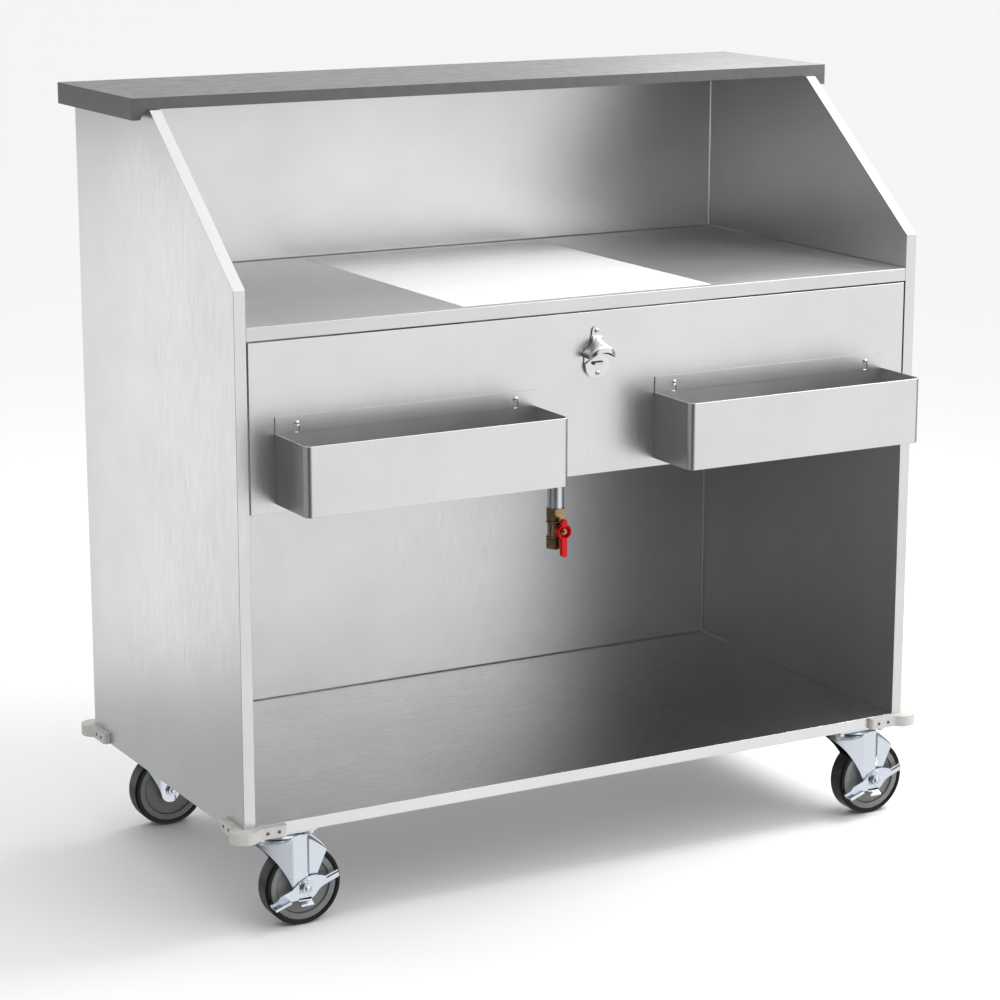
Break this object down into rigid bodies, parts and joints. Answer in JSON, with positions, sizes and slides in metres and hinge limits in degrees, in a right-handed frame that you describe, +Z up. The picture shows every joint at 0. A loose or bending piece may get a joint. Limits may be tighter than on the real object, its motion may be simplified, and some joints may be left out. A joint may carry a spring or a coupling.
{
  "type": "portable back bar with ice bin",
  "caption": "Rolling stainless bar station: worktop with an ice bin under a lift-out board, raised counter, hook-on speed rails, bottle opener, drain valve, open storage bay and swivel casters.",
  "frame": {"origin": "on the floor, under the middle of the whole object's box at rest", "axes": "+Z up, front (open bay and speed rails) towards -Y, +X to the right seen from the front, along the width"},
  "size_m": [1.2694, 0.74, 1.252],
  "materials": {
    "brushed_stainless": "satin brushed stainless sheet",
    "rail_stainless": "fine brushed stainless sheet",
    "counter_laminate": "charcoal laminate, satin",
    "board_plastic": "white cutting board plastic, fine texture",
    "insulation_foam": "closed-cell foam",
    "plated_pipe": "plated steel pipe",
    "valve_brass": "dull cast and machined brass",
    "red_enamel": "gloss red coating",
    "cast_chrome": "bright plated casting",
    "screw_steel": "bright screw steel",
    "bright_zinc": "blue-white zinc plate on pressed steel",
    "tyre_rubber": "smooth black tread, semi-gloss",
    "hub_plastic": "moulded grey",
    "bumper_plastic": "moulded warm grey, fine texture"
  },
  "bodies": {
    "cabinet": {"side_panel_left": "brushed_stainless", "side_panel_right": "brushed_stainless", "back_panel": "brushed_stainless", "bottom_deck": "brushed_stainless", "worktop": "brushed_stainless", "front_panel": "brushed_stainless", "ice_bin_liner": "brushed_stainless", "ice_bin_casing": "brushed_stainless", "drain_strainer": "brushed_stainless", "counter_top": "counter_laminate", "ice_bin_insulation": "insulation_foam", "drain_pipe": "plated_pipe", "drain_locknut": "plated_pipe", "valve_body": "valve_brass", "valve_end_nut": "valve_brass", "bottle_opener": "cast_chrome", "opener_screw_upper": "screw_steel", "opener_screw_lower": "screw_steel", "rail_screw_left_outer": "screw_steel", "rail_screw_left_inner": "screw_steel", "rail_screw_right_outer": "screw_steel", "rail_screw_right_inner": "screw_steel", "bumper_front_left": "bumper_plastic", "bumper_front_right": "bumper_plastic", "bumper_back_right": "bumper_plastic", "bumper_back_left": "bumper_plastic", "caster_front_left_plate": "bright_zinc", "caster_front_left_kingpin": "bright_zinc", "caster_front_right_plate": "bright_zinc", "caster_front_right_kingpin": "bright_zinc", "caster_back_right_plate": "bright_zinc", "caster_back_right_kingpin": "bright_zinc", "caster_back_left_plate": "bright_zinc", "caster_back_left_kingpin": "bright_zinc"},
    "cutting_board": {"cutting_board": "board_plastic"},
    "speed_rail_left": {"speed_rail_left": "rail_stainless"},
    "speed_rail_right": {"speed_rail_right": "rail_stainless"},
    "valve_handle": {"valve_ball": "plated_pipe", "valve_stem": "valve_brass", "valve_handle": "red_enamel", "valve_handle_nut": "valve_brass"},
    "caster_front_left_swivel": {"caster_front_left_fork": "bright_zinc", "caster_front_left_axle": "bright_zinc"},
    "caster_front_left_wheel": {"caster_front_left_hub": "hub_plastic", "caster_front_left_tyre": "tyre_rubber"},
    "caster_front_left_brake": {"caster_front_left_brake_lever": "bright_zinc"},
    "caster_front_right_swivel": {"caster_front_right_fork": "bright_zinc", "caster_front_right_axle": "bright_zinc"},
    "caster_front_right_wheel": {"caster_front_right_hub": "hub_plastic", "caster_front_right_tyre": "tyre_rubber"},
    "caster_front_right_brake": {"caster_front_right_brake_lever": "bright_zinc"},
    "caster_back_right_swivel": {"caster_back_right_fork": "bright_zinc", "caster_back_right_axle": "bright_zinc"},
    "caster_back_right_wheel": {"caster_back_right_hub": "hub_plastic", "caster_back_right_tyre": "tyre_rubber"},
    "caster_back_left_swivel": {"caster_back_left_fork": "bright_zinc", "caster_back_left_axle": "bright_zinc"},
    "caster_back_left_wheel": {"caster_back_left_hub": "hub_plastic", "caster_back_left_tyre": "tyre_rubber"}
  },
  "joints": [
    {"name": "board_lift", "type": "slide", "parent": "cabinet", "child": "cutting_board", "axis": [0, 0, 1], "range_m": [0, 0.25]},
    {"name": "speed_rail_left_lift", "type": "slide", "parent": "cabinet", "child": "speed_rail_left", "axis": [0, 0, 1], "range_m": [0, 0.009]},
    {"name": "speed_rail_right_lift", "type": "slide", "parent": "cabinet", "child": "speed_rail_right", "axis": [0, 0, 1], "range_m": [0, 0.009]},
    {"name": "valve_turn", "type": "hinge", "parent": "cabinet", "child": "valve_handle", "pos_m": [0, -0.141, 0.55], "axis": [0, 1, 0], "range_deg": [0, 90]},
    {"name": "caster_front_left_swivel_turn", "type": "hinge", "parent": "cabinet", "child": "caster_front_left_swivel", "pos_m": [-0.5356, -0.221, 0.163], "axis": [0, 0, 1], "continuous": true},
    {"name": "caster_front_left_wheel_spin", "type": "hinge", "parent": "caster_front_left_swivel", "child": "caster_front_left_wheel", "pos_m": [-0.5006, -0.221, 0.0635], "axis": [0, 1, 0], "continuous": true},
    {"name": "caster_front_left_brake_press", "type": "hinge", "parent": "caster_front_left_swivel", "child": "caster_front_left_brake", "pos_m": [-0.5006, -0.221, 0.0635], "axis": [0, 1, 0], "range_deg": [0, 28]},
    {"name": "caster_front_right_swivel_turn", "type": "hinge", "parent": "cabinet", "child": "caster_front_right_swivel", "pos_m": [0.5356, -0.221, 0.163], "axis": [0, 0, 1], "continuous": true},
    {"name": "caster_front_right_wheel_spin", "type": "hinge", "parent": "caster_front_right_swivel", "child": "caster_front_right_wheel", "pos_m": [0.5706, -0.221, 0.0635], "axis": [0, 1, 0], "continuous": true},
    {"name": "caster_front_right_brake_press", "type": "hinge", "parent": "caster_front_right_swivel", "child": "caster_front_right_brake", "pos_m": [0.5706, -0.221, 0.0635], "axis": [0, 1, 0], "range_deg": [0, 28]},
    {"name": "caster_back_right_swivel_turn", "type": "hinge", "parent": "cabinet", "child": "caster_back_right_swivel", "pos_m": [0.5356, 0.305, 0.163], "axis": [0, 0, 1], "continuous": true},
    {"name": "caster_back_right_wheel_spin", "type": "hinge", "parent": "caster_back_right_swivel", "child": "caster_back_right_wheel", "pos_m": [0.5706, 0.305, 0.0635], "axis": [0, 1, 0], "continuous": true},
    {"name": "caster_back_left_swivel_turn", "type": "hinge", "parent": "cabinet", "child": "caster_back_left_swivel", "pos_m": [-0.5356, 0.305, 0.163], "axis": [0, 0, 1], "continuous": true},
    {"name": "caster_back_left_wheel_spin", "type": "hinge", "parent": "caster_back_left_swivel", "child": "caster_back_left_wheel", "pos_m": [-0.5006, 0.305, 0.0635], "axis": [0, 1, 0], "continuous": true}
  ]
}
